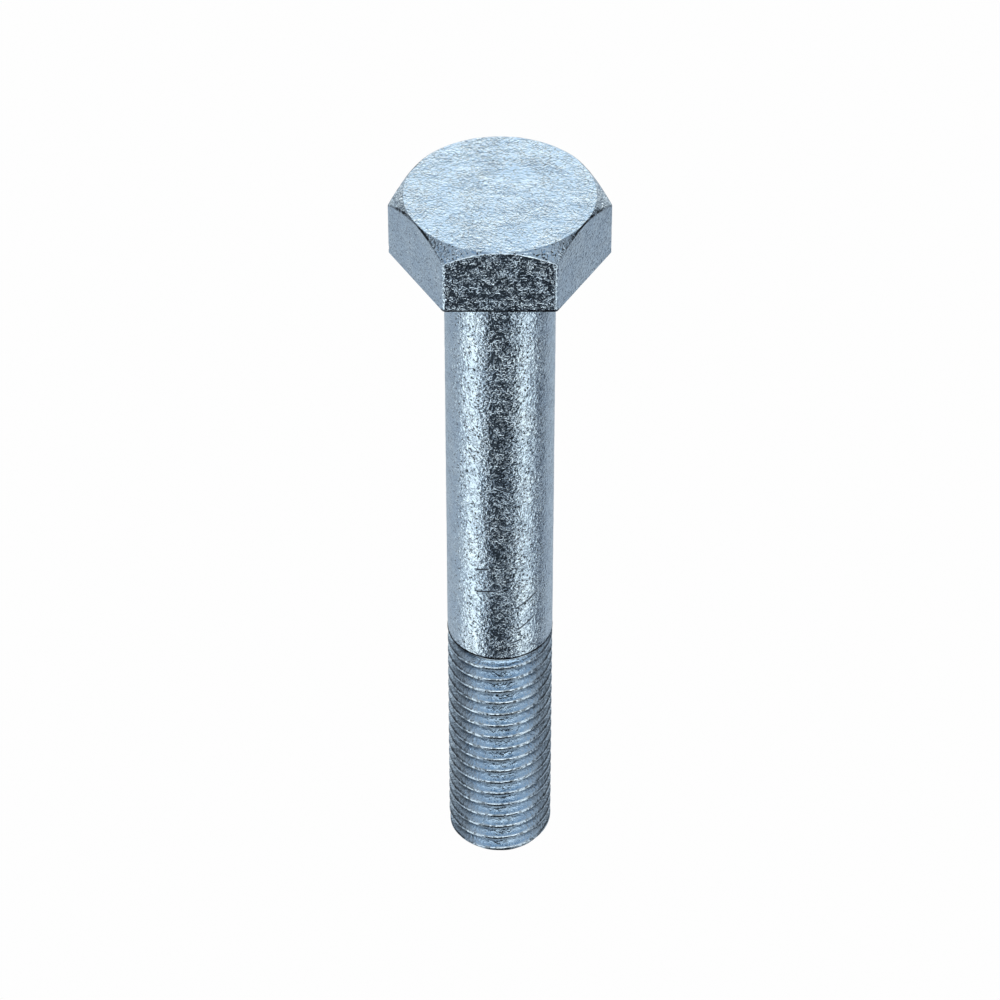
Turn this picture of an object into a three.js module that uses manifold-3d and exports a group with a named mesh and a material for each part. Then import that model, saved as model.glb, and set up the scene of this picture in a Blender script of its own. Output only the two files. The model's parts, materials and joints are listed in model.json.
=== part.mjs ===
// Hex head bolt, M10 x 70, steel with a zinc coat.
//
// The bolt is one forging. It is drawn as its three named sections, each a closed solid in its own mesh:
// the hex head, the plain shank and the thread. They meet face to face, square to the axis.
//
// Frame: millimetres. The axis of the bolt is Z, the tip stands on z = 0 and the head is at the top.
// One flat of the hexagon faces -Y, so two of its corners lie on the X axis.

import * as THREE from 'three';
import { mergeVertices } from 'three/addons/utils/BufferGeometryUtils.js';
import Module from 'manifold-3d';

const wasm = await Module();
wasm.setup();

// Driving dimensions.
const LENGTH = 70;                // tip to bearing face
const THREAD_LENGTH = 26;         // threaded length, from the tip
const BODY_DIAMETER = 9.95;       // plain shank
const THREAD_DIAMETER = 9.95;     // over the crests
const PITCH = 1.5;
const ACROSS_FLATS = 17;
const HEAD_HEIGHT = 6.55;         // bearing face to the top of the head
const HEAD_TOP_DIAMETER = 16.9;   // circle left on top by the chamfer
const HEAD_CHAMFER_ANGLE = 43.5;  // degrees below the top face
const WASHER_FACE_DIAMETER = 16;
const WASHER_FACE_HEIGHT = 0.15;
const FILLET_RADIUS = 0.5;        // between the bearing face and the shank
const TIP_DIAMETER = 8.8;         // flat end face inside the point chamfer
const ROLLED_END = 0.6;           // length over which the rolled thread grows to full depth

// Smoothness.
const ROUND_STEPS = 96;
const THREAD_STEPS = 48;
const FILLET_STEPS = 6;

// ISO metric thread profile, from the pitch.
const THREAD_ANGLE = THREE.MathUtils.degToRad(60);
const FULL_TRIANGLE = PITCH / (2 * Math.tan(THREAD_ANGLE / 2));
const THREAD_DEPTH = (5 / 8) * FULL_TRIANGLE;
const CREST_FLAT = PITCH / 8;
const ROOT_FLAT = PITCH / 4;
const CREST_RADIUS = THREAD_DIAMETER / 2;
const ROOT_RADIUS = CREST_RADIUS - THREAD_DEPTH;
const BLANK_RADIUS = CREST_RADIUS - (3 / 8) * FULL_TRIANGLE;
const FRONT_CREST = PITCH / 2;    // height of the lowest crest on the -Y side

const BEARING_Z = LENGTH;
const HEAD_TOP_Z = LENGTH + HEAD_HEIGHT;
const NECK_Z = LENGTH - FILLET_RADIUS;
const BODY_RADIUS = BODY_DIAMETER / 2;
const MARGIN = 2;                 // how far a cutting shape reaches past what it cuts

const zincCoat = () => new THREE.MeshStandardMaterial({ color: 0x9fb0bd, roughness: 0.35, metalness: 1.0 });

// A closed geometry as a manifold solid: only positions, shared vertices, no collapsed triangles.
function toSolid(geometry) {
  const bare = geometry.clone();
  bare.deleteAttribute('normal');
  bare.deleteAttribute('uv');
  const merged = mergeVertices(bare, 1e-4);
  const corners = merged.index.array;
  const kept = [];
  for (let i = 0; i < corners.length; i += 3) {
    const [a, b, c] = [corners[i], corners[i + 1], corners[i + 2]];
    if (a !== b && b !== c && c !== a) kept.push(a, b, c);
  }
  return new wasm.Manifold(new wasm.Mesh({
    numProp: 3,
    vertProperties: Float32Array.from(merged.attributes.position.array),
    triVerts: Uint32Array.from(kept),
  }));
}

function toGeometry(solid) {
  const mesh = solid.getMesh();
  const geometry = new THREE.BufferGeometry();
  geometry.setAttribute('position', new THREE.BufferAttribute(mesh.vertProperties, 3));
  geometry.setIndex(new THREE.BufferAttribute(mesh.triVerts, 1));
  geometry.computeVertexNormals();
  return geometry;
}

// A solid of revolution about Z from [radius, height] points that start and end on the axis, lowest first.
function turned(points, steps) {
  const profile = points.map(([radius, height]) => new THREE.Vector2(radius, height));
  return new THREE.LatheGeometry(profile, steps).rotateX(Math.PI / 2);
}

function namedMesh(name, geometry) {
  const mesh = new THREE.Mesh(geometry, zincCoat());
  mesh.name = name;
  return mesh;
}

// Hex head: a hexagonal prism under a chamfer cone, on a washer face, with the fillet that runs into the shank.
function hexHead() {
  const cornerRadius = ACROSS_FLATS / Math.sqrt(3);
  const outline = new THREE.Shape();
  for (let corner = 0; corner < 6; corner += 1) {
    const angle = corner * Math.PI / 3;
    const x = cornerRadius * Math.cos(angle);
    const y = cornerRadius * Math.sin(angle);
    if (corner === 0) outline.moveTo(x, y);
    else outline.lineTo(x, y);
  }
  outline.closePath();
  const prismBottom = BEARING_Z + WASHER_FACE_HEIGHT;
  const prism = new THREE.ExtrudeGeometry(outline, { depth: HEAD_TOP_Z - prismBottom + MARGIN, bevelEnabled: false });
  prism.translate(0, 0, prismBottom);

  const topRadius = HEAD_TOP_DIAMETER / 2;
  const rimRadius = cornerRadius + MARGIN;
  const rimDrop = (rimRadius - topRadius) * Math.tan(THREE.MathUtils.degToRad(HEAD_CHAMFER_ANGLE));
  const chamfer = turned([
    [0, prismBottom - MARGIN],
    [rimRadius, prismBottom - MARGIN],
    [rimRadius, HEAD_TOP_Z - rimDrop],
    [topRadius, HEAD_TOP_Z],
    [0, HEAD_TOP_Z],
  ], ROUND_STEPS);

  const fillet = [];
  for (let step = 0; step <= FILLET_STEPS; step += 1) {
    const angle = (step / FILLET_STEPS) * Math.PI / 2;
    fillet.push([
      BODY_RADIUS + FILLET_RADIUS * (1 - Math.cos(angle)),
      NECK_Z + FILLET_RADIUS * Math.sin(angle),
    ]);
  }
  const seat = turned([
    [0, NECK_Z],
    ...fillet,
    [WASHER_FACE_DIAMETER / 2, BEARING_Z],
    [WASHER_FACE_DIAMETER / 2, prismBottom + MARGIN],
    [0, prismBottom + MARGIN],
  ], ROUND_STEPS);

  const head = toSolid(prism).intersect(toSolid(chamfer)).add(toSolid(seat));
  return namedMesh('hex_head', toGeometry(head));
}

// Plain shank: the turned body between the thread and the fillet under the head.
function plainShank() {
  const body = turned([
    [0, THREAD_LENGTH],
    [BODY_RADIUS, THREAD_LENGTH],
    [BODY_RADIUS, NECK_Z],
    [0, NECK_Z],
  ], ROUND_STEPS);
  return namedMesh('plain_shank', toGeometry(toSolid(body)));
}

// The rolled thread starts from the bare blank at the tip and is at full depth after ROLLED_END.
function rolledRadius(fullRadius, height) {
  const growth = THREE.MathUtils.clamp(height / ROLLED_END, 0, 1);
  return BLANK_RADIUS + growth * (fullRadius - BLANK_RADIUS);
}

// A right-hand helical surface, closed at both ends, longer than the thread by more than a pitch each way.
function helixSurface() {
  const flank = (PITCH - CREST_FLAT - ROOT_FLAT) / 2;
  const profile = [
    [-CREST_FLAT / 2, CREST_RADIUS],
    [CREST_FLAT / 2, CREST_RADIUS],
    [CREST_FLAT / 2 + flank, ROOT_RADIUS],
    [CREST_FLAT / 2 + flank + ROOT_FLAT, ROOT_RADIUS],
  ];
  const pitches = Math.ceil(THREAD_LENGTH / PITCH) + 3;
  const start = FRONT_CREST - 2 * PITCH;
  const rows = pitches * profile.length;
  const stored = rows + profile.length;
  const columns = THREAD_STEPS;
  const positions = [];
  for (let column = 0; column < columns; column += 1) {
    const turn = column / columns;
    const angle = turn * 2 * Math.PI - Math.PI / 2;
    for (let row = 0; row <= stored; row += 1) {
      const [offset, fullRadius] = profile[row % profile.length];
      const height = start + (Math.floor(row / profile.length) + turn) * PITCH + offset;
      const radius = rolledRadius(fullRadius, height);
      positions.push(radius * Math.cos(angle), radius * Math.sin(angle), height);
    }
  }
  const lowCentre = positions.length / 3;
  positions.push(0, 0, start - PITCH);
  const highCentre = lowCentre + 1;
  positions.push(0, 0, start + (pitches + 2) * PITCH);

  // After one turn the helix is one pitch higher, so the last column is the first one, a profile further up.
  const at = (column, row) => (column < columns ? column * (stored + 1) + row : row + profile.length);
  const faces = [];
  for (let column = 0; column < columns; column += 1) {
    for (let row = 0; row < rows; row += 1) {
      faces.push(at(column, row), at(column + 1, row), at(column + 1, row + 1));
      faces.push(at(column, row), at(column + 1, row + 1), at(column, row + 1));
    }
    faces.push(lowCentre, at(column + 1, 0), at(column, 0));
    faces.push(highCentre, at(column, rows), at(column + 1, rows));
  }
  for (let row = 0; row < profile.length; row += 1) {
    faces.push(lowCentre, at(0, row), at(0, row + 1));
    faces.push(highCentre, at(0, rows + row + 1), at(0, rows + row));
  }
  const geometry = new THREE.BufferGeometry();
  geometry.setAttribute('position', new THREE.Float32BufferAttribute(positions, 3));
  geometry.setIndex(faces);
  return geometry;
}

// Thread: the helix cut to length, with the chamfered point, and washed out at 45 degrees into the shank.
function thread() {
  const tipRadius = TIP_DIAMETER / 2;
  const outerRadius = CREST_RADIUS + MARGIN;
  const envelope = turned([
    [0, 0],
    [tipRadius, 0],
    [outerRadius, outerRadius - tipRadius],
    [outerRadius, THREAD_LENGTH],
    [0, THREAD_LENGTH],
  ], THREAD_STEPS);
  const washoutZ = THREAD_LENGTH - (CREST_RADIUS - ROOT_RADIUS);
  const coreRadius = ROOT_RADIUS * 0.5;
  const washout = turned([
    [0, washoutZ - MARGIN],
    [coreRadius, washoutZ - MARGIN],
    [ROOT_RADIUS, washoutZ],
    [CREST_RADIUS, THREAD_LENGTH],
    [0, THREAD_LENGTH],
  ], THREAD_STEPS);
  const solid = toSolid(helixSurface()).intersect(toSolid(envelope)).add(toSolid(washout));
  return namedMesh('thread', toGeometry(solid));
}

const bolt = new THREE.Group();
bolt.add(hexHead());
bolt.add(plainShank());
bolt.add(thread());

export default bolt;
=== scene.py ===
import json
import math

import bmesh
import bpy
import numpy as np
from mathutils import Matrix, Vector


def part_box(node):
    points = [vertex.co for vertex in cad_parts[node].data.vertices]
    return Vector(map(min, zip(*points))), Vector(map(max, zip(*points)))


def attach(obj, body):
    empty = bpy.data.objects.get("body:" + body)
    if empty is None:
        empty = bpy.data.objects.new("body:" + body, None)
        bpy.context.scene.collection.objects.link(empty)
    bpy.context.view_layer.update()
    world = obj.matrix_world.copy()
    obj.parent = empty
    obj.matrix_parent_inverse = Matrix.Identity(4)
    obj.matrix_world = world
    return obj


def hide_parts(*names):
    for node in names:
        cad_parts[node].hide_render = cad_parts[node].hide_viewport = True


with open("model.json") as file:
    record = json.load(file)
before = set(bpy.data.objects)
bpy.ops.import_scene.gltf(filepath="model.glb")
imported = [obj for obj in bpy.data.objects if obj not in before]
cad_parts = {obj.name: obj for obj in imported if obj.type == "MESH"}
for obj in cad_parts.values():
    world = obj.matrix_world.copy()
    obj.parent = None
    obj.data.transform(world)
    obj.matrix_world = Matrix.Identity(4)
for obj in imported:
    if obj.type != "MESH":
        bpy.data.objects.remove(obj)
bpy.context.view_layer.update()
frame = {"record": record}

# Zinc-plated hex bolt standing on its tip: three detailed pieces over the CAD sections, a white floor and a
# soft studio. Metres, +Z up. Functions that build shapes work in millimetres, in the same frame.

MM = 0.001
RECORD = frame["record"]
MOUNTS = {mount["name"]: mount for mount in RECORD["mounts"]}


def box_mm(node):
    """The low and high corners of a CAD node's box, in millimetres."""
    low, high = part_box(node)
    return Vector(low) / MM, Vector(high) / MM


HEAD_LOW, HEAD_HIGH = box_mm("hex_head")
SHANK_LOW, SHANK_HIGH = box_mm("plain_shank")
THREAD_LOW, THREAD_HIGH = box_mm("thread")

# Sizes in millimetres. What the frame holds is read from it, and the rest repeats the CAD model's sizes.
FLAT_DISTANCE = (HEAD_HIGH.y - HEAD_LOW.y) / 2
HEAD_TOP_Z = HEAD_HIGH.z
BEARING_Z = MOUNTS["bearing_face"]["pos_m"][2] / MM
NECK_Z = HEAD_LOW.z
SHANK_RADIUS = (SHANK_HIGH.x - SHANK_LOW.x) / 2
CREST_RADIUS = (THREAD_HIGH.x - THREAD_LOW.x) / 2
THREAD_END_Z = THREAD_HIGH.z
HEAD_TOP_RADIUS = 8.45
HEAD_CHAMFER_SLOPE = math.tan(math.radians(43.5))
WASHER_FACE_RADIUS = 8.0
WASHER_FACE_HEIGHT = 0.15
PRISM_Z = BEARING_Z + WASHER_FACE_HEIGHT
TIP_RADIUS = 4.4
ROLLED_END = 0.6

# ISO metric thread profile, from the pitch.
PITCH = 1.5
THREAD_TRIANGLE = PITCH / (2 * math.tan(math.radians(30)))
CREST_FLAT = PITCH / 8
ROOT_FLAT = PITCH / 4
ROOT_RADIUS = CREST_RADIUS - 0.625 * THREAD_TRIANGLE
BLANK_RADIUS = CREST_RADIUS - 0.375 * THREAD_TRIANGLE
FRONT_CREST = PITCH / 2

# Half a sixth of a turn: from the middle of one of the hexagon's flats to its corner.
HALF_SIXTH = math.pi / 6

# Fineness of the meshes: columns round the axis, and rows along one pitch of the thread.
HEAD_COLUMNS = 456
SHANK_COLUMNS = 268
THREAD_COLUMNS = 268
PITCH_ROWS = 20

# The visual surface lies this far inside the CAD surface, so that no bump reaches outside the CAD box.
SKIN = 0.012

# The wear: depth, feature size and seed of each layer of shallow waves, then the round pits.
WEAR_WAVES = [(0.008, 2.6, 11), (0.022, 0.75, 12)]
WEAR_PIT_DEPTH = 0.030
WEAR_PITS = {"spacing": 0.9, "radius": 0.22, "share": 0.4, "seed": 20}

# The wear fades out over this distance at the joint under the head, and over less at the thread's ends.
JOINT_REACH = 0.4
THREAD_END_REACH = 0.1


# ---------------------------------------------------------------- noise, in millimetres

WORD = 0xFFFFFFFF
LATTICE_PRIMES = (73856093, 19349663, 83492791)
SEED_PRIME = 2654435761
MIXING_ROUNDS = ((16, 0x7FEB352D), (15, 0x846CA68B))


def hashed(lattice, seed):
    """A repeatable number from 0 to 1 for each whole-numbered lattice point."""
    mask = np.uint64(WORD)
    h = np.zeros(len(lattice), dtype=np.uint64)
    for axis, prime in enumerate(LATTICE_PRIMES):
        h ^= (lattice[:, axis].astype(np.int64).astype(np.uint64) * np.uint64(prime)) & mask
    h = (h + np.uint64(seed * SEED_PRIME % (WORD + 1))) & mask
    for shift, factor in MIXING_ROUNDS:
        h ^= h >> np.uint64(shift)
        h = (h * np.uint64(factor)) & mask
    h ^= h >> np.uint64(16)
    return h.astype(np.float64) / WORD


def noise(points, size, seed):
    """Smooth noise from -1 to 1 with features of about size millimetres."""
    p = points / size
    cell = np.floor(p)
    t = p - cell
    # The quintic curve that is level at both ends.
    t = t * t * t * (t * (t * 6 - 15) + 10)
    total = np.zeros(len(points))
    for corner in range(8):
        offset = np.array([corner & 1, corner >> 1 & 1, corner >> 2 & 1])
        weight = np.prod(np.where(offset, t, 1 - t), axis=1)
        total += weight * hashed(cell + offset, seed)
    return total * 2 - 1


def pits(points, spacing, radius, share, seed):
    """Round dimples: 1 at the middle of each, 0 outside. share of the lattice cells hold one."""
    smallest, spread = 0.6, 0.8  # a dimple's radius is from 0.6 to 1.4 times the given one
    steepness = 1.5
    p = points / spacing
    base = np.floor(p)
    deepest = np.zeros(len(points))
    for step in range(27):
        offset = np.array([step % 3 - 1, step // 3 % 3 - 1, step // 9 - 1])
        cell = base + offset
        jitter = [hashed(cell, seed + axis) for axis in range(3)]
        centre = cell + np.stack(jitter, axis=1)
        size = radius * (smallest + spread * hashed(cell, seed + 3))
        there = hashed(cell, seed + 4) < share
        reach = np.linalg.norm(p - centre, axis=1) * spacing / size
        depth = np.where(there, np.clip(1 - reach * reach, 0, 1) ** steepness, 0)
        deepest = np.maximum(deepest, depth)
    return deepest


def worn_depth(points):
    """How far the hammered, pickled surface lies under the smooth one."""
    depth = 0
    for deep, size, seed in WEAR_WAVES:
        depth = depth + deep * (1 + noise(points, size, seed)) / 2
    return depth + WEAR_PIT_DEPTH * pits(points, **WEAR_PITS)


# ---------------------------------------------------------------- mesh helpers

def row_places(start, length, reach, steps):
    """Distances along a profile at which its rows lie, closer together near the rounded corners."""
    near_steps = 4  # rows on each side of a rounded corner
    longest_share = 0.4  # of a run, that the rounding at one end may take up
    places = [start[0]]
    for run, count in enumerate(steps):
        first = np.minimum(reach[run], longest_share * length[run])
        last = np.minimum(reach[run + 1], longest_share * length[run])
        inner = length[run] - first - last
        if reach[run] > 0:
            places += [start[run] + first * step / near_steps for step in range(1, near_steps + 1)]
        places += [start[run] + first + inner * step / count for step in range(1, count + 1)]
        if reach[run + 1] > 0:
            before = start[run] + first + inner
            places += [before + last * step / near_steps for step in range(1, near_steps + 1)]
    return places


def rounded_profile(corners, steps):
    """Rows of (radius, height) along a profile whose corners are rounded.

    corners is a list of (radius, height, reach). The profile is averaged over that reach near each corner, so
    corners closer together than that blend into one. radius and height may be arrays over the columns.
    steps[i] is the number of rows on the straight run from corner i to corner i + 1."""
    radius = np.stack(np.broadcast_arrays(*[np.atleast_1d(corner[0]) for corner in corners])).astype(float)
    height = np.stack(np.broadcast_arrays(*[np.atleast_1d(corner[1]) for corner in corners])).astype(float)
    radius, height = np.broadcast_arrays(radius, height)
    reach = np.array([[corner[2]] for corner in corners], dtype=float)
    length = np.hypot(np.diff(radius, axis=0), np.diff(height, axis=0))
    start = np.cumsum(length, axis=0) - length

    def along(values, distance):
        result = np.zeros_like(distance) + values[0]
        for run in range(len(length)):
            share = np.clip((distance - start[run]) / length[run], 0, 1)
            result += share * (values[run + 1] - values[run])
        return result

    rows = []
    for place in row_places(start, length, reach, steps):
        window = along(reach, place)
        total = 0
        sums = [0, 0]
        # Places nearer the middle of the window count for more, and its ends for nothing.
        for offset in np.linspace(-0.9, 0.9, 10):
            weight = 1 - abs(offset)
            sums[0] = sums[0] + weight * along(radius, place + offset * window)
            sums[1] = sums[1] + weight * along(height, place + offset * window)
            total += weight
        rows.append((sums[0] / total, sums[1] / total))
    return rows


def make_mesh(name, vertices, faces):
    """A mesh that is shaded smooth."""
    mesh = bpy.data.meshes.new(name)
    mesh.from_pydata(vertices.tolist(), [], faces)
    mesh.validate()
    mesh.polygons.foreach_set("use_smooth", [True] * len(mesh.polygons))
    mesh.update()
    return mesh


def turned_mesh(name, rows, angles):
    """A closed mesh from rows of (radius, height), lowest first, starting and ending on the axis."""
    columns = len(angles)
    ring_rows = rows[1:-1]
    vertices = [[0, 0, float(np.mean(rows[0][1]))]]
    for radius, height in ring_rows:
        radius = np.broadcast_to(radius, (columns,))
        height = np.broadcast_to(height, (columns,))
        ring = np.stack([radius * np.cos(angles), radius * np.sin(angles), height], axis=1)
        vertices.extend(ring.tolist())
    vertices.append([0, 0, float(np.mean(rows[-1][1]))])
    faces = []
    last = len(vertices) - 1
    top = 1 + (len(ring_rows) - 1) * columns
    for column in range(columns):
        following = (column + 1) % columns
        faces.append((0, 1 + following, 1 + column))
        for row in range(len(ring_rows) - 1):
            low = 1 + row * columns
            high = low + columns
            faces.append((low + column, low + following, high + following, high + column))
        faces.append((top + column, top + following, last))
    return make_mesh(name, np.array(vertices), faces)


def near(points, height, reach):
    """0 at that height and 1 from reach away."""
    return np.clip(np.abs(points[:, 2] - height) / reach, 0, 1)


def wear(mesh, keep):
    """Moves each vertex inward by the worn depth, and takes the mesh from millimetres to metres.

    keep(points) is 0 where the surface must stay and 1 elsewhere."""
    count = len(mesh.vertices)
    points = np.empty(count * 3)
    normals = np.empty(count * 3)
    mesh.vertices.foreach_get("co", points)
    mesh.vertex_normals.foreach_get("vector", normals)
    points = points.reshape(-1, 3)
    normals = normals.reshape(-1, 3)
    depth = (SKIN + worn_depth(points)) * keep(points)
    moved = (points - normals * depth[:, None]) * MM
    mesh.vertices.foreach_set("co", moved.ravel())
    mesh.update()


def add_piece(mesh, node):
    """Puts a mesh in the scene as the piece that stands for one CAD node, on the bolt's only body."""
    piece = bpy.data.objects.new(mesh.name, mesh)
    bpy.context.scene.collection.objects.link(piece)
    mesh.materials.append(zinc)
    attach(piece, "root")
    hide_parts(node)
    return piece


# ---------------------------------------------------------------- node helpers

class Nodes:
    """Short calls for building a shader's node tree, from an empty one.

    A value that is a number or a colour is set on the socket, and one that is an output is linked to it."""

    def __init__(self, tree):
        self.tree = tree
        tree.nodes.clear()

    def add(self, kind, **values):
        node = self.tree.nodes.new(kind)
        for name, value in values.items():
            setattr(node, name, value)
        return node

    def put(self, node, inputs):
        for key, value in inputs.items():
            if isinstance(value, bpy.types.NodeSocket):
                self.tree.links.new(value, node.inputs[key])
            else:
                node.inputs[key].default_value = value
        return node

    def math(self, operation, *values):
        node = self.add("ShaderNodeMath", operation=operation)
        return self.put(node, dict(enumerate(values))).outputs[0]

    def plus(self, first, second):
        return self.math("ADD", first, second)

    def minus(self, first, second):
        return self.math("SUBTRACT", first, second)

    def times(self, first, second):
        return self.math("MULTIPLY", first, second)

    def larger(self, first, second):
        return self.math("MAXIMUM", first, second)

    def away(self, value, place):
        """How far the value is from that place, on either side."""
        return self.math("ABSOLUTE", self.minus(value, place))

    def hypotenuse(self, first, second):
        return self.math("SQRT", self.plus(self.times(first, first), self.times(second, second)))

    def turn(self, x, y):
        """The angle round Z, in radians from -Y towards +X."""
        return self.math("ARCTAN2", x, self.times(y, -1.0))

    def split(self, vector):
        return self.put(self.add("ShaderNodeSeparateXYZ"), {0: vector}).outputs

    def smooth(self, value, low, high, to_low=0.0, to_high=1.0):
        """to_low where the value is low or less, to_high where it is high or more, and smooth between."""
        node = self.add("ShaderNodeMapRange", interpolation_type="SMOOTHSTEP")
        limits = {"From Min": low, "From Max": high, "To Min": to_low, "To Max": to_high}
        self.put(node, {"Value": value, **limits})
        return node.outputs["Result"]

    def fall(self, value, low, high, full=1.0):
        """full where the value is low or less, and 0 where it is high or more."""
        return self.smooth(value, low, high, full, 0.0)

    def noise(self, vector, scale, detail=2.0, roughness=0.5, distortion=0.0):
        node = self.add("ShaderNodeTexNoise")
        shape = {"Scale": scale, "Detail": detail, "Roughness": roughness, "Distortion": distortion}
        self.put(node, {"Vector": vector, **shape})
        return node.outputs["Fac"]

    def mix(self, factor, first, second):
        node = self.add("ShaderNodeMix", data_type="RGBA")
        self.put(node, {0: factor, 6: first, 7: second})
        return node.outputs[2]


class Place:
    """Where a shaded point is, in millimetres, and which part of the bolt it is on."""

    def __init__(self, n):
        coordinates = n.add("ShaderNodeTexCoord")
        scaled = n.add("ShaderNodeVectorMath", operation="SCALE")
        n.put(scaled, {"Vector": coordinates.outputs["Object"], "Scale": 1 / MM})
        self.mm = scaled.outputs["Vector"]
        self.x, self.y, self.z = n.split(self.mm)
        self.radius = n.hypotenuse(self.x, self.y)
        self.beside = n.math("ABSOLUTE", self.x)
        self.on_thread = n.fall(self.z, THREAD_END_Z - 0.5, THREAD_END_Z - 0.1)
        facing = n.split(coordinates.outputs["Normal"])
        self.facing_side = n.math("ABSOLUTE", facing["X"])
        self.on_top = n.smooth(facing["Z"], 0.86, 0.97)


# ---------------------------------------------------------------- zinc plating

# Colours of the plating, light first; the last two are painted shade, not the plating's colour, and the last
# one also colours the scratches.
PALE_ZINC = (0.68, 0.78, 0.88, 1)
BLUE_ZINC = (0.60, 0.71, 0.83, 1)
STROKE_GREY = (0.34, 0.42, 0.50, 1)
CREST_SPOT = (0.06, 0.07, 0.08, 1)
# Painted shade for the thread's roots, the tip, the ring at the thread's end and the head's edges.
PAINTED_SHADE = (0.03, 0.04, 0.05, 1)
PIT_SHADE = (0.03, 0.035, 0.04, 1)

# Pits and strokes are weaker on the thread by this share.
THREAD_CALM = 0.88

# Cells for pits to the millimetre, and how far they are bent, in millimetres, by a noise of this scale.
PIT_SCALE = 2.8
PIT_BEND = (0.5, 0.5, 0.5)
PIT_BEND_SCALE = 3.1

# The relief is worked out in units of this height, in metres.
RELIEF_UNIT = 0.1 * MM

# Scratches on the shank: where each starts and ends, as degrees from -Y towards +X and height in millimetres.
SCRATCHES = [
    ((17, 32.2), (48, 33.6)),
    ((16, 29.3), (43, 30.7)),
    ((-29, 36.8), (-10, 37.2)),
    ((-30, 34.1), (2, 34.7)),
    ((8, 27.9), (24, 28.2)),
    ((-8, 47.3), (12, 46.4)),
]
SCRATCH_CORE = 0.03  # half width at full depth
SCRATCH_EDGE = 0.13  # half width where it ends

# In the calls of smooth and fall below, the two numbers after a value are where the change starts and ends:
# millimetres where the value is a place, plain numbers where it is a noise. Numbers after those are amounts.


def scratches(n, at):
    """1 along each scratch and 0 away from them."""
    arc = n.times(n.turn(at.x, at.y), SHANK_RADIUS)
    result = 0.0
    for (angle_a, z_a), (angle_b, z_b) in SCRATCHES:
        arc_a = math.radians(angle_a) * SHANK_RADIUS
        arc_b = math.radians(angle_b) * SHANK_RADIUS
        length = math.hypot(arc_b - arc_a, z_b - z_a)
        along_arc, along_z = (arc_b - arc_a) / length, (z_b - z_a) / length
        from_arc = n.minus(arc, arc_a)
        from_z = n.minus(at.z, z_a)
        along = n.plus(n.times(from_arc, along_arc), n.times(from_z, along_z))
        across = n.minus(n.times(from_arc, along_z), n.times(from_z, along_arc))
        line = n.fall(n.math("ABSOLUTE", across), SCRATCH_CORE, SCRATCH_EDGE)
        line = n.times(line, n.fall(n.away(along, length / 2), length * 0.3, length * 0.5))
        result = n.larger(result, line)
    return result


def root_shade(n, at):
    """Painted shade in the thread's roots, standing for the shade deep in the grooves, stronger towards the
    left and right outlines.
    """
    shallow = n.fall(at.radius, ROOT_RADIUS + 0.04, ROOT_RADIUS + 0.38, 0.65)
    deep = n.fall(at.radius, ROOT_RADIUS + 0.08, ROOT_RADIUS + 0.56, 0.97)
    deep = n.times(deep, n.smooth(at.beside, 2.6, 4.4))
    return n.times(n.larger(shallow, deep), at.on_thread)


def lower_edge_shade(n, at):
    """Painted shade: a dark line along the lower edge of the front flat."""
    line = n.fall(n.away(at.z, PRISM_Z), 0.16, 0.28, 0.97)
    return n.times(line, n.fall(at.y, 0.30 - FLAT_DISTANCE, 0.45 - FLAT_DISTANCE))


def chamfer_edge_shade(n, at):
    """Painted shade: a thin, broken dark line where the chamfer meets the four side flats, near both flat and
    cone.
    """
    across = n.times(at.beside, math.cos(HALF_SIXTH))
    out = n.plus(across, n.times(n.math("ABSOLUTE", at.y), math.sin(HALF_SIXTH)))
    near_flat = n.smooth(out, FLAT_DISTANCE - 0.18, FLAT_DISTANCE - 0.11)
    near_flat = n.times(near_flat, n.smooth(at.beside, 4.9, 6.2))
    near_flat = n.times(near_flat, n.smooth(at.beside, 8.6, 9.4, 1.0, 0.3))
    cone = n.math("MULTIPLY_ADD", at.radius, HEAD_CHAMFER_SLOPE, at.z)
    cone = n.minus(cone, HEAD_TOP_Z + HEAD_TOP_RADIUS * HEAD_CHAMFER_SLOPE)
    line = n.times(near_flat, n.smooth(cone, -0.20, -0.12))
    return n.times(line, n.smooth(n.noise(at.mm, 1.6, 2.0, 0.6), 0.38, 0.56, 0.15, 0.97))


def painted_shade(n, at):
    """Painted shade: darker in the thread's roots, at the tip, in a ring at the thread's end and along the
    head's edges.
    """
    result = root_shade(n, at)
    # Painted shade at the tip, where the bolt stands on the floor.
    result = n.larger(result, n.fall(at.z, 0.1, 0.5, 0.7))
    # Painted shade in the ring where the thread meets the shank's rounded end.
    result = n.larger(result, n.fall(n.away(at.z, THREAD_END_Z - 0.02), 0.09, 0.20, 0.97))
    result = n.larger(result, lower_edge_shade(n, at))
    return n.larger(result, chamfer_edge_shade(n, at))


def pit_distance(n, at):
    """Distance to the nearest pit, in a space bent so that the pits aren't round."""
    warp = n.add("ShaderNodeTexNoise")
    n.put(warp, {"Vector": at.mm, "Scale": PIT_BEND_SCALE, "Detail": 1.0})
    bent = n.add("ShaderNodeVectorMath", operation="MULTIPLY_ADD")
    n.put(bent, {0: warp.outputs["Color"], 1: PIT_BEND, 2: at.mm})
    cells = n.add("ShaderNodeTexVoronoi", feature="F1")
    n.put(cells, {"Vector": bent.outputs[0], "Scale": PIT_SCALE, "Randomness": 1.0})
    return cells.outputs["Distance"]


def strokes(n, at):
    """Short curved strokes: the middle level of one noise, kept where another is high."""
    veins = n.away(n.noise(at.mm, 2.6, 1.0, 0.5), 0.5)
    return n.times(n.fall(veins, 0.0, 0.12), n.smooth(n.noise(at.mm, 1.3, 2.0, 0.6), 0.45, 0.58))


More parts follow.
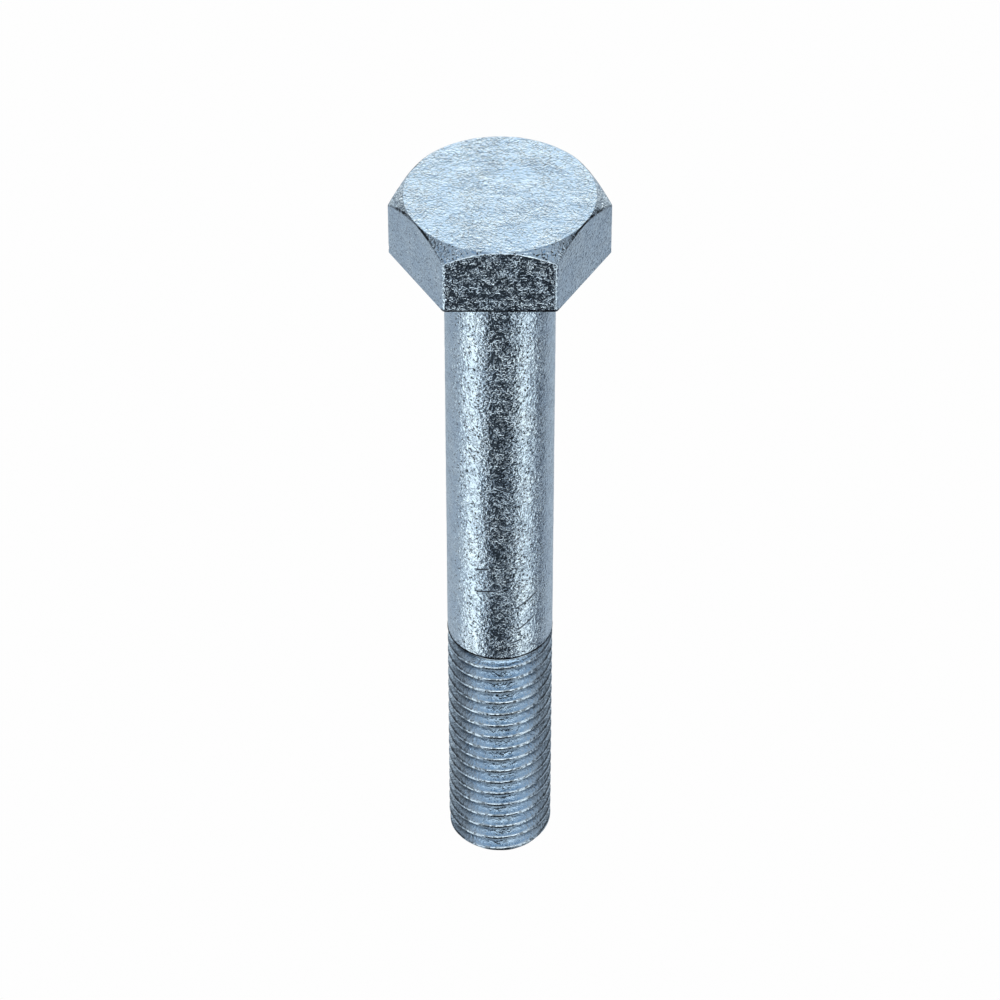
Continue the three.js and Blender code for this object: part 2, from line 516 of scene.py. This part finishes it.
def top_ridges(n, at):
    """Fine ridges on the top of the head, stronger in some places than in others."""
    long_way = n.add("ShaderNodeVectorMath", operation="MULTIPLY")
    n.put(long_way, {0: at.mm, 1: (1.1, 1.0, 1.0)})
    ridges = n.times(n.noise(long_way.outputs[0], 2.8, 1.6, 0.5, 0.9), at.on_top)
    return n.times(ridges, n.smooth(n.noise(at.mm, 0.3, 2.0, 0.5), 0.38, 0.62, 0.7, 2.1))


def shaded_pit_specks(n, at, distance):
    """Painted shade: dark specks in the pits, on the shank and the front of the head more than elsewhere."""
    plain = n.minus(1.0, n.larger(n.times(at.on_top, 0.8), n.times(at.on_thread, THREAD_CALM)))
    side_limit = n.smooth(at.z, NECK_Z - 0.2, NECK_Z, 0.70, 0.42)
    sideways = n.smooth(n.minus(at.facing_side, side_limit), 0.0, 0.2)
    shown = n.minus(plain, n.times(sideways, 0.85))
    return n.times(n.fall(distance, 0.19, 0.30, 0.95), shown)


def crest_spots(n, at):
    """Dark spots along the thread's crests."""
    on_crest = n.times(n.smooth(at.radius, CREST_RADIUS - 0.12, CREST_RADIUS - 0.05), at.on_thread)
    return n.times(on_crest, n.smooth(n.noise(at.mm, 2.6, 1.0, 0.5), 0.50, 0.58, 0.0, 0.7))


def zinc_tint(n, at, distance, stroke, marks):
    """The plating's colour: faint stains, then the strokes, the painted shade of the pits, the scratches, the
    crest spots and the painted shade of the roots, tip and edges.
    """
    stains = n.noise(at.mm, 0.35, 3.0, 0.6)
    tint = n.mix(n.smooth(stains, 0.35, 0.65), BLUE_ZINC, PALE_ZINC)
    tint = n.mix(n.times(n.times(stroke, at.on_top), 0.30), tint, STROKE_GREY)
    # Painted shade in the pits; the scratches take the same dark colour.
    tint = n.mix(n.larger(shaded_pit_specks(n, at, distance), n.times(marks, 0.9)), tint, PIT_SHADE)
    tint = n.mix(crest_spots(n, at), tint, CREST_SPOT)
    # Painted shade in the roots, at the tip, at the thread's end and along the head's edges.
    return n.mix(painted_shade(n, at), tint, PAINTED_SHADE)


def zinc_relief(n, at, distance, stroke, marks):
    """Grain and ridges, less the pits, strokes and scratches, in relief units."""
    grain = n.noise(at.mm, 3.7, 1.0, 0.5)
    height = n.times(grain, n.smooth(at.on_thread, 0.0, 1.0, 0.76, 0.42))
    height = n.plus(height, top_ridges(n, at))
    amount = n.minus(1.0, n.times(at.on_thread, THREAD_CALM))
    height = n.minus(height, n.times(n.fall(distance, 0.10, 0.36), n.times(amount, 0.42)))
    height = n.minus(height, n.times(stroke, n.times(amount, 0.25)))
    return n.minus(height, n.times(marks, 0.8))


def make_zinc():
    """Bluish zinc plating over forged steel: fine pits and short ridges, faint stains, a few scratches."""
    material = bpy.data.materials.new("zinc_plate")
    material.use_nodes = True
    n = Nodes(material.node_tree)
    at = Place(n)
    features = (pit_distance(n, at), strokes(n, at), scratches(n, at))
    tint = zinc_tint(n, at, *features)
    bump = n.add("ShaderNodeBump")
    n.put(bump, {"Strength": 1.0, "Distance": RELIEF_UNIT, "Height": zinc_relief(n, at, *features)})
    rough = n.smooth(n.noise(at.mm, 0.9, 3.0, 0.6), 0.3, 0.7, 0.10, 0.16)
    shader = n.add("ShaderNodeBsdfPrincipled")
    n.put(shader, {"Base Color": tint, "Metallic": 1.0, "Roughness": rough, "Normal": bump.outputs["Normal"]})
    out = n.add("ShaderNodeOutputMaterial")
    n.put(out, {"Surface": shader.outputs["BSDF"]})
    return material


zinc = make_zinc()


# ---------------------------------------------------------------- hex head

# Radii of the hexagon's vertical edges: the two that lie on the X axis are sharper than the other four.
SIDE_CORNER_ROUNDING = 0.28
FRONT_CORNER_ROUNDING = 0.44

# How far the edges of the head's profile are rounded, from the bearing face up.
SEAT_ROUNDING = 0.05
LOWER_EDGE_ROUNDING = 0.09
CHAMFER_EDGE_ROUNDING = 0.16
TOP_EDGE_ROUNDING = 0.12
FILLET_STEPS = 8

# How much the columns crowd towards the hexagon's corners: 0 is even, 1 is fully.
CORNER_CROWDING = 0.55

# Share of the wear that is left at the head's lower edge, and the distance over which the rest comes back.
LOWER_EDGE_WEAR = 0.35
LOWER_EDGE_REACH = 0.5


def hexagon_radius(angles, rounding):
    """Distance from the axis to a hexagon with rounded corners; a flat faces -Y.

    rounding is one radius per angle."""
    turn = np.mod(angles + HALF_SIXTH, 2 * HALF_SIXTH) - HALF_SIXTH
    corner_centre = (FLAT_DISTANCE - rounding) / math.cos(HALF_SIXTH)
    arc = corner_centre * np.cos(turn)
    arc = arc + np.sqrt(np.maximum(rounding ** 2 - (corner_centre * np.sin(turn)) ** 2, 0))
    flat = FLAT_DISTANCE / np.cos(HALF_SIXTH - np.abs(turn))
    reach = np.arctan2(rounding / 2, corner_centre + rounding * math.cos(HALF_SIXTH))
    return np.where(np.abs(turn) < reach, arc, flat)


def spaced_angles(columns, crowding):
    """Angles round the head, drawn closer together towards the six corners."""
    even = np.linspace(0, 2 * math.pi, columns, endpoint=False)
    return even - crowding * np.sin(6 * even) / 6


def fillet_corners():
    """The quarter circle between the shank and the bearing face, from its second point."""
    fillet = BEARING_Z - NECK_Z
    corners = []
    for step in range(1, FILLET_STEPS + 1):
        turn = step / FILLET_STEPS * math.pi / 2
        corners.append((SHANK_RADIUS + fillet * (1 - math.cos(turn)), NECK_Z + fillet * math.sin(turn), 0))
    return corners


def hex_head():
    """The hexagonal head with its chamfer, washer face and fillet."""
    angles = spaced_angles(HEAD_COLUMNS, CORNER_CROWDING)
    at_side = np.abs(np.cos(angles)) > math.cos(HALF_SIXTH)
    outer = hexagon_radius(angles, np.where(at_side, SIDE_CORNER_ROUNDING, FRONT_CORNER_ROUNDING))
    chamfer_z = HEAD_TOP_Z - (outer - HEAD_TOP_RADIUS) * HEAD_CHAMFER_SLOPE
    corners = [(0, NECK_Z, 0), (SHANK_RADIUS, NECK_Z, 0)] + fillet_corners() + [
        (WASHER_FACE_RADIUS, BEARING_Z, SEAT_ROUNDING),
        (WASHER_FACE_RADIUS + SEAT_ROUNDING, PRISM_Z, SEAT_ROUNDING),
        (outer, PRISM_Z, LOWER_EDGE_ROUNDING),
        (outer, chamfer_z, CHAMFER_EDGE_ROUNDING),
        (HEAD_TOP_RADIUS, HEAD_TOP_Z, TOP_EDGE_ROUNDING),
        (0, HEAD_TOP_Z, 0),
    ]
    # Rows on the neck and the fillet, then on the bearing face, washer face, underside, flats, chamfer, top.
    steps = [3] + [1] * FILLET_STEPS + [10, 1, 6, 42, 8, 56]
    mesh = turned_mesh("hex_head_body", rounded_profile(corners, steps), angles)

    def keep(points):
        at_edge = LOWER_EDGE_WEAR + (1 - LOWER_EDGE_WEAR) * near(points, PRISM_Z, LOWER_EDGE_REACH)
        return near(points, NECK_Z, JOINT_REACH) * at_edge

    wear(mesh, keep)
    return add_piece(mesh, "hex_head")


# ---------------------------------------------------------------- plain shank

def plain_shank():
    """The plain shank, rounded at its lower end so that a fine groove shows above the thread."""
    angles = np.linspace(0, 2 * math.pi, SHANK_COLUMNS, endpoint=False)
    low, high = SHANK_LOW.z, SHANK_HIGH.z
    lower_rounding = 0.3
    corners = [
        (0, low, 0),
        (SHANK_RADIUS, low, lower_rounding),
        (SHANK_RADIUS, high, 0),
        (0, high, 0),
    ]
    # Rows on the lower end, the side and the upper end.
    rows = rounded_profile(corners, [4, 350, 4])
    mesh = turned_mesh("plain_shank_body", rows, angles)
    wear(mesh, lambda points: near(points, high, JOINT_REACH))
    return add_piece(mesh, "plain_shank")


# ---------------------------------------------------------------- thread

# Rolling leaves the crests this much wider than the standard's flat, and rounds the profile over this much.
CREST_WIDENING = 0.15
PROFILE_ROUNDING = 0.075


def thread_profile():
    """(height, radius) samples of one pitch of rolled ISO thread, evenly spaced along it, crest to crest."""
    flank = (PITCH - CREST_FLAT - ROOT_FLAT) / 2
    half_crest = (CREST_FLAT + CREST_WIDENING) / 2
    corners = [
        (0, CREST_RADIUS),
        (half_crest, CREST_RADIUS),
        (half_crest + flank, ROOT_RADIUS),
        (PITCH - half_crest - flank, ROOT_RADIUS),
        (PITCH - half_crest, CREST_RADIUS),
        (PITCH, CREST_RADIUS),
    ]
    fine = 2000
    height = np.linspace(0, PITCH, fine, endpoint=False)
    radius = np.interp(height, [z for z, _ in corners], [r for _, r in corners])
    window = int(2 * PROFILE_ROUNDING / PITCH * fine)
    weights = np.hanning(window + 2)[1:-1]
    weights = weights / weights.sum()
    padded = np.concatenate([radius[-window:], radius, radius[:window]])
    radius = np.convolve(padded, weights, mode="same")[window:-window]
    step_length = np.hypot(np.gradient(height), np.gradient(radius))
    length = np.concatenate([[0], np.cumsum(step_length)])[:-1]
    wanted = np.arange(PITCH_ROWS) / PITCH_ROWS * (length[-1] + step_length[-1])
    return np.interp(wanted, length, height), np.interp(wanted, length, radius)


def helix_mesh():
    """The thread's helical surface, open at both ends and longer than the thread at both."""
    heights, radii = thread_profile()
    rows = (math.ceil(THREAD_END_Z / PITCH) + 3) * PITCH_ROWS
    row = np.arange(rows + PITCH_ROWS + 1)
    turn = np.arange(THREAD_COLUMNS) / THREAD_COLUMNS
    start = FRONT_CREST - 2 * PITCH
    lift = start + (row // PITCH_ROWS) * PITCH + heights[row % PITCH_ROWS]
    z = lift[None, :] + turn[:, None] * PITCH
    full = np.broadcast_to(radii[row % PITCH_ROWS], z.shape)
    growth = np.clip(z / ROLLED_END, 0, 1)
    r = BLANK_RADIUS + growth * (full - BLANK_RADIUS)
    # Washed out at 45 degrees into the shank, and chamfered at 45 degrees at the tip.
    r = np.maximum(r, CREST_RADIUS - np.maximum(THREAD_END_Z - z, 0))
    r = np.minimum(r, TIP_RADIUS + np.maximum(z, 0))
    angle = turn[:, None] * 2 * math.pi - math.pi / 2
    vertices = np.stack([r * np.cos(angle), r * np.sin(angle), z], axis=2).reshape(-1, 3)

    def at(column, index):
        """After one turn the helix is a pitch higher, so the last column is the first, a pitch up."""
        return column * len(row) + index if column < THREAD_COLUMNS else index + PITCH_ROWS

    faces = [(at(c, i), at(c + 1, i), at(c + 1, i + 1), at(c, i + 1))
             for c in range(THREAD_COLUMNS) for i in range(rows)]
    return make_mesh("thread_body", vertices, faces)


def cut_square(mesh, low, high):
    """Cuts a tube off at two heights and closes its ends with flat caps."""
    touching = 1e-5
    shape = bmesh.new()
    shape.from_mesh(mesh)
    for height, keep_up in ((low, True), (high, False)):
        everything = list(shape.verts) + list(shape.edges) + list(shape.faces)
        bmesh.ops.bisect_plane(shape, geom=everything, dist=touching, plane_co=(0, 0, height),
                               plane_no=(0, 0, 1), clear_inner=keep_up, clear_outer=not keep_up)
    loose = [v for v in shape.verts if not v.link_faces]
    bmesh.ops.delete(shape, geom=loose, context="VERTS")
    open_edges = [e for e in shape.edges if e.is_boundary]
    caps = bmesh.ops.holes_fill(shape, edges=open_edges, sides=0)["faces"]
    bmesh.ops.recalc_face_normals(shape, faces=shape.faces)
    for cap in caps:
        cap.smooth = False
    shape.to_mesh(mesh)
    shape.free()
    mesh.update()


def thread():
    """The thread, cut to length, with its crests and roots rounded as rolling leaves them."""
    mesh = helix_mesh()
    cut_square(mesh, THREAD_LOW.z, THREAD_END_Z)

    def keep(points):
        above_tip = near(points, THREAD_LOW.z, THREAD_END_REACH)
        return above_tip * near(points, THREAD_END_Z, THREAD_END_REACH)

    wear(mesh, keep)
    return add_piece(mesh, "thread")


hex_head()
plain_shank()
thread()


# ---------------------------------------------------------------- floor, studio and camera

# Brightness of the white paper that the bolt stands on and in front of.
PAPER_WHITE = (1, 1, 1, 1)
PAPER_STRENGTH = 0.99


def make_paper():
    """White paper that gives its own light, so that it is the same white everywhere."""
    material = bpy.data.materials.new("white_paper")
    material.use_nodes = True
    n = Nodes(material.node_tree)
    glow = n.add("ShaderNodeEmission")
    n.put(glow, {"Color": PAPER_WHITE, "Strength": PAPER_STRENGTH})
    out = n.add("ShaderNodeOutputMaterial")
    n.put(out, {"Surface": glow.outputs[0]})
    return material


def make_floor():
    """A plain white sheet. The metal doesn't mirror it, so that the studio alone shapes the reflections."""
    half = 2.0  # metres
    corners = [(-half, -half, 0), (half, -half, 0), (half, half, 0), (-half, half, 0)]
    mesh = bpy.data.meshes.new("floor")
    mesh.from_pydata(corners, [], [(0, 1, 2, 3)])
    mesh.materials.append(make_paper())
    floor = bpy.data.objects.new("floor", mesh)
    bpy.context.scene.collection.objects.link(floor)
    floor.visible_glossy = False
    floor.visible_diffuse = False
    floor.visible_shadow = False


# Soft patches of the studio, each laid over the ones before it: azimuth from -Y towards +X and height above
# the horizon, in degrees; half widths in degrees; colour; how soft the edge is (1 fades from the middle).
STUDIO_BASE = (0.47, 0.535, 0.595, 1)
STUDIO_PATCHES = [
    ("overhead", 0, 90, 400, 42, (0.24, 0.39, 0.56, 1), 0.6),
    ("zenith", 0, 84, 400, 16, (0.14, 0.25, 0.38, 1), 0.7),
    ("zenith_dark", 0, 80, 62, 14, (0.04, 0.08, 0.13, 1), 0.6),
    ("back_panel", 180, 28, 70, 40, (0.96, 1.12, 1.22, 1), 1.0),
    ("back_glow", 180, 4, 60, 17, (1.75, 1.75, 1.62, 1), 0.8),
    ("front_strip", 0, 6, 75, 25, (1.60, 1.66, 1.62, 1), 0.6),
    ("left_side_shade", -103, 12, 58, 62, (0.06, 0.065, 0.07, 1), 0.8),
    ("right_side_shade", 103, 12, 58, 62, (0.06, 0.065, 0.07, 1), 0.8),
    ("right_low_shade", 95, -42, 18, 34, (0.06, 0.07, 0.09, 1), 0.6),
    ("left_strip", -63, -41, 22, 22, (1.38, 1.45, 1.40, 1), 0.35),
    ("right_strip", 54, -41, 22, 22, (1.34, 1.40, 1.34, 1), 0.6),
    ("front_dark", 5, -33, 47, 22, (0.012, 0.016, 0.020, 1), 0.40),
    ("front_dark_low", -12, -48, 28, 20, (0.03, 0.037, 0.045, 1), 0.5),
    ("front_floor", 0, -78, 80, 28, (0.01, 0.012, 0.015, 1), 0.5),
]


def studio_colour(n):
    """The colour of the studio in each direction."""
    x, y, z = n.split(n.add("ShaderNodeTexCoord").outputs["Generated"])
    azimuth = n.times(n.turn(x, y), math.degrees(1))
    elevation = n.times(n.math("ARCSINE", z), math.degrees(1))
    colour = STUDIO_BASE
    for name, at_azimuth, at_elevation, wide, high, patch, softness in STUDIO_PATCHES:
        across = n.math("WRAP", n.minus(azimuth, float(at_azimuth)), 180.0, -180.0)
        across = n.math("DIVIDE", across, float(wide))
        up = n.math("DIVIDE", n.minus(elevation, float(at_elevation)), float(high))
        inside = n.fall(n.hypotenuse(across, up), 1 - softness, 1.0)
        colour = n.mix(inside, colour, patch)
        colour.node.label = name
    return colour


def make_studio():
    """The bolt mirrors the studio, and the camera sees white paper in its place."""
    world = bpy.data.worlds.new("studio")
    bpy.context.scene.world = world
    world.use_nodes = True
    n = Nodes(world.node_tree)
    light = n.add("ShaderNodeBackground")
    n.put(light, {"Color": studio_colour(n), "Strength": 1.0})
    paper = n.add("ShaderNodeBackground")
    n.put(paper, {"Color": PAPER_WHITE, "Strength": PAPER_STRENGTH})
    seen = n.add("ShaderNodeLightPath").outputs["Is Camera Ray"]
    choose = n.add("ShaderNodeMixShader")
    n.put(choose, {0: seen, 1: light.outputs[0], 2: paper.outputs[0]})
    out = n.add("ShaderNodeOutputWorld")
    n.put(out, {"Surface": choose.outputs[0]})


def make_camera():
    """Looks down on the bolt from the front. The lens and distance give the photograph's perspective."""
    elevation = math.radians(40.87)
    distance = 0.3892
    target = Vector((0, 0, 0.04143))
    data = bpy.data.cameras.new("camera")
    data.sensor_width = 36.0
    data.lens = 152.2
    data.clip_start = 0.01
    data.clip_end = 10.0
    camera = bpy.data.objects.new("camera", data)
    bpy.context.scene.collection.objects.link(camera)
    back = Vector((0, -math.cos(elevation), math.sin(elevation)))
    camera.location = target + back * distance
    camera.rotation_mode = "QUATERNION"
    camera.rotation_quaternion = (-back).to_track_quat("-Z", "Y")
    bpy.context.scene.camera = camera


make_floor()
make_studio()
make_camera()
bpy.context.scene.view_settings.view_transform = "Standard"
